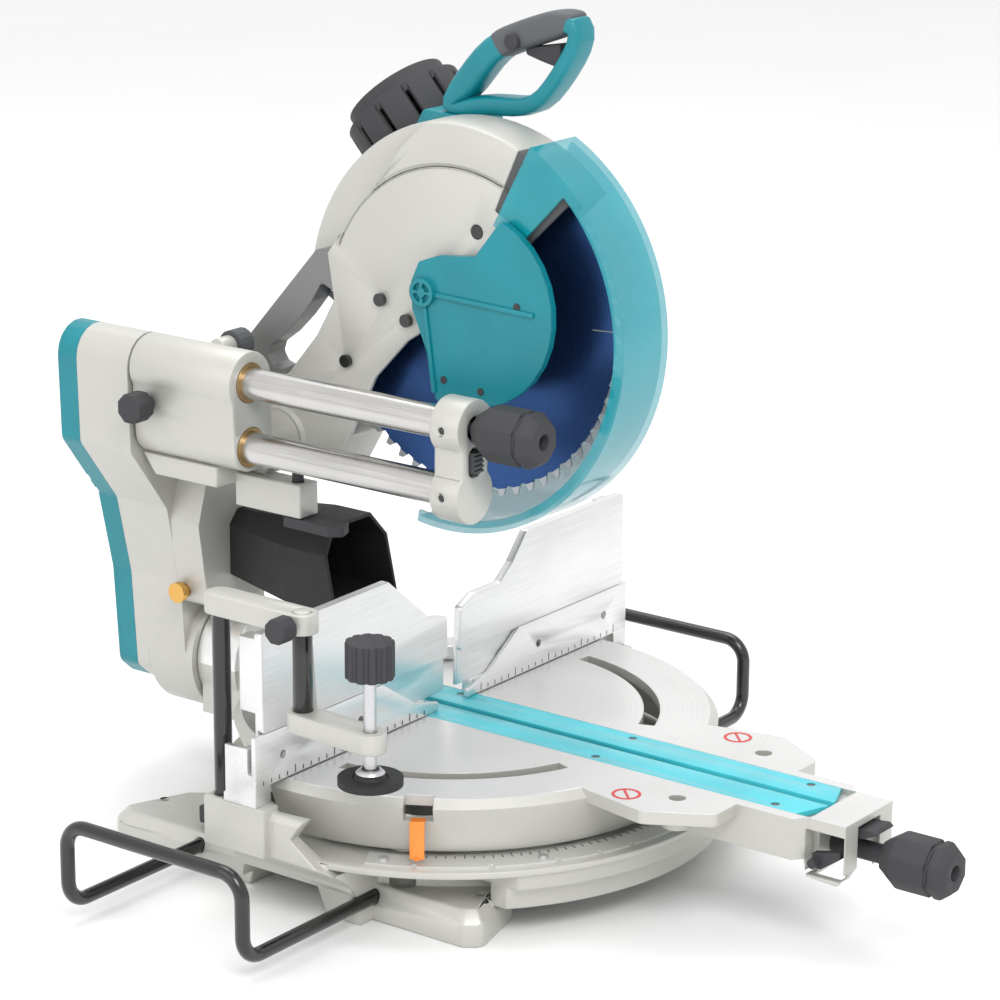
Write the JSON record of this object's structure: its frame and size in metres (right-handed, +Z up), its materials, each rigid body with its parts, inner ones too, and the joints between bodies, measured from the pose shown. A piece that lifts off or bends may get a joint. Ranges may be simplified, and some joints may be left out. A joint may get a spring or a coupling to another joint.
{
  "type": "sliding miter saw",
  "caption": "Sliding compound miter saw with tilting arm, twin guide rails, lower blade guard, fences, turntable and work vise.",
  "frame": {"origin": "turntable axis on the bench plane, centre of the bench bolt holes", "axes": "+X right along the fence, +Y behind the fence, +Z up; the user stands at -Y"},
  "size_m": [0.724, 0.856, 0.721],
  "materials": {
    "cast_silver": "satin silver powder coat on cast aluminium",
    "machined": "machined bright",
    "zinc": "bright zinc plated",
    "steel": "ground steel",
    "black_steel": "gloss black paint",
    "black_plastic": "fine texture",
    "dark_plastic": "fine texture",
    "teal": "satin moulded",
    "teal_clear": "clear tinted",
    "board": "satin",
    "orange": "satin",
    "rubber": "soft",
    "grip": "soft",
    "brass": "satin",
    "bronze": "sintered",
    "copper": "wound",
    "blade": "coated"
  },
  "bodies": {
    "base": {"base_casting": "cast_silver", "miter_scale_plate": "machined", "base_screws": "zinc", "lower_fence": "machined", "turntable_pivot_bolt": "zinc", "clamp_screws": "black_plastic"},
    "left_fence": {"left_upper_fence": "machined"},
    "right_fence": {"right_upper_fence": "machined"},
    "left_holder": {"left_holder": "black_steel"},
    "right_holder": {"right_holder": "black_steel"},
    "table": {"turntable": "cast_silver", "kerf_boards": "board", "kerf_board_screws": "black_steel", "miter_pointer": "orange"},
    "miter_grip": {"miter_lock_grip": "black_plastic"},
    "front_lever": {"front_lock_lever": "black_plastic"},
    "stop_lever": {"positive_stop_lever": "black_plastic"},
    "arm": {"tilt_arm": "cast_silver", "rear_cover": "teal", "dust_hood": "rubber", "guide_rails": "steel", "rail_bracket": "cast_silver", "set_screws": "black_steel", "bevel_pivot_pin": "steel"},
    "bevel_grip": {"bevel_lock_grip": "black_plastic"},
    "release_lever": {"bevel_release_lever": "black_plastic"},
    "stop_button": {"bevel_stop_button": "orange"},
    "carriage": {"slide_carriage": "cast_silver", "rail_bushes": "bronze", "chop_shaft": "steel"},
    "slide_knob": {"slide_lock_knob": "black_plastic"},
    "stop_pin": {"stopper_pin": "zinc"},
    "stop_arm": {"stopper_arm": "black_plastic"},
    "head": {"blade_case": "cast_silver", "front_case_cap": "dark_plastic", "case_bolts": "black_steel", "gear_housing": "cast_silver", "motor_housing": "teal", "motor_end_cap": "black_plastic", "stator": "copper", "head_bearings": "steel", "centre_cover": "teal", "carry_handle": "cast_silver", "handle_shells": "teal", "handle_grip": "grip"},
    "trigger": {"trigger": "black_plastic"},
    "lock_off": {"lock_off_button": "black_plastic"},
    "guard": {"lower_guard": "teal_clear"},
    "blade": {"saw_blade": "blade", "blade_flanges": "steel", "arbor_bolt": "zinc", "spindle": "steel"},
    "armature": {"armature": "steel"},
    "vise_post": {"vise_post": "black_steel", "vise_upper_arm": "cast_silver"},
    "vise_clamp_screw": {"vise_arm_screw": "black_plastic"},
    "vise_arm": {"vise_lower_arm": "cast_silver"},
    "vise_screw": {"vise_screw": "zinc", "vise_knob": "black_plastic", "vise_pad": "rubber"}
  },
  "joints": [
    {"name": "left_fence_slide", "type": "slide", "parent": "base", "child": "left_fence", "axis": [1, 0, 0], "range_m": [-0.068, 0]},
    {"name": "right_fence_slide", "type": "slide", "parent": "base", "child": "right_fence", "axis": [-1, 0, 0], "range_m": [-0.068, 0]},
    {"name": "left_holder_slide", "type": "slide", "parent": "base", "child": "left_holder", "axis": [1, 0, 0], "range_m": [0, 0.055]},
    {"name": "right_holder_slide", "type": "slide", "parent": "base", "child": "right_holder", "axis": [-1, 0, 0], "range_m": [0, 0.055]},
    {"name": "miter", "type": "hinge", "parent": "base", "child": "table", "pos_m": [0, 0, 0], "axis": [0, 0, 1], "range_deg": [-60, 60]},
    {"name": "miter_grip_turn", "type": "hinge", "parent": "table", "child": "miter_grip", "pos_m": [0, -0.4, 0.084], "axis": [0, 1, 0], "range_deg": [0, 90]},
    {"name": "front_lever_press", "type": "hinge", "parent": "table", "child": "front_lever", "pos_m": [0, -0.404, 0.1015], "axis": [1, 0, 0], "range_deg": [0, 12], "stiffness_Nm_per_rad": 0.4, "springref_deg": -5.73},
    {"name": "stop_lever_turn", "type": "hinge", "parent": "table", "child": "stop_lever", "pos_m": [-0.034, -0.388, 0.079], "axis": [1, 0, 0], "range_deg": [-12, 30]},
    {"name": "bevel", "type": "hinge", "parent": "table", "child": "arm", "pos_m": [0, 0, 0.115], "axis": [0, 1, 0], "range_deg": [-28, 28]},
    {"name": "bevel_grip_turn", "type": "hinge", "parent": "arm", "child": "bevel_grip", "pos_m": [-0.095, 0, 0.397], "axis": [0, 1, 0], "range_deg": [0, 90]},
    {"name": "release_lever_press", "type": "slide", "parent": "arm", "child": "release_lever", "axis": [0, 1, 0], "range_m": [0, 0.0025], "stiffness_N_per_m": 400, "springref_m": -0.002},
    {"name": "stop_button_push", "type": "slide", "parent": "arm", "child": "stop_button", "axis": [1, 0, 0], "range_m": [0, 0.003], "stiffness_N_per_m": 500, "springref_m": -0.002},
    {"name": "slide", "type": "slide", "parent": "arm", "child": "carriage", "axis": [0, 1, 0], "range_m": [-0.185, 0]},
    {"name": "slide_knob_turn", "type": "hinge", "parent": "carriage", "child": "slide_knob", "pos_m": [-0.13, 0.236, 0.369], "axis": [1, 0, 0], "range_deg": [0, 90]},
    {"name": "stopper_pin_pull", "type": "slide", "parent": "carriage", "child": "stop_pin", "axis": [1, 0, 0], "range_m": [0, 0.008], "stiffness_N_per_m": 300, "springref_m": -0.004},
    {"name": "stopper_arm_swing", "type": "hinge", "parent": "carriage", "child": "stop_arm", "pos_m": [-0.07, 0.112, 0.295], "axis": [0, 0, 1], "range_deg": [-60, 20]},
    {"name": "chop", "type": "hinge", "parent": "carriage", "child": "head", "pos_m": [0, 0.167, 0.331], "axis": [-1, 0, 0], "range_deg": [-54.6, 0], "stiffness_Nm_per_rad": 9, "springref_deg": 126.05},
    {"name": "guard_swing", "type": "hinge", "parent": "head", "child": "guard", "pos_m": [0, -0.018, 0.46], "axis": [1, 0, 0], "range_deg": [-112, 0]},
    {"name": "blade_spin", "type": "hinge", "parent": "head", "child": "blade", "pos_m": [0, -0.018, 0.46], "axis": [1, 0, 0], "continuous": true},
    {"name": "motor_spin", "type": "hinge", "parent": "head", "child": "armature", "pos_m": [0.084, -0.018, 0.46], "axis": [0, 0.6691, 0.7431], "continuous": true},
    {"name": "trigger_pull", "type": "hinge", "parent": "head", "child": "trigger", "pos_m": [0.048, -0.045, 0.678], "axis": [1, 0, 0], "range_deg": [-6, 0], "stiffness_Nm_per_rad": 1, "springref_deg": 11.46},
    {"name": "lock_off_press", "type": "slide", "parent": "head", "child": "lock_off", "axis": [1, 0, 0], "range_m": [0, 0.0025], "stiffness_N_per_m": 400, "springref_m": -0.002},
    {"name": "vise_swing", "type": "hinge", "parent": "base", "child": "vise_post", "pos_m": [-0.247, 0.045, 0], "axis": [0, 0, 1], "range_deg": [-100, 34]},
    {"name": "vise_clamp_turn", "type": "hinge", "parent": "vise_post", "child": "vise_clamp_screw", "pos_m": [-0.26, -0.04, 0.2635], "axis": [1, 0, 0], "range_deg": [0, 90]},
    {"name": "vise_arm_swing", "type": "hinge", "parent": "vise_post", "child": "vise_arm", "pos_m": [-0.247, -0.04, 0.215], "axis": [0, 0, 1], "range_deg": [-50, 50]},
    {"name": "vise_screw_feed", "type": "slide", "parent": "vise_arm", "child": "vise_screw", "axis": [0, 0, -1], "range_m": [-0.012, 0.028]}
  ],
  "couplings": [
    {"joint": "guard_swing", "follows": "chop", "ratio": 2.0513},
    {"joint": "motor_spin", "follows": "blade_spin", "ratio": 3.6}
  ]
}
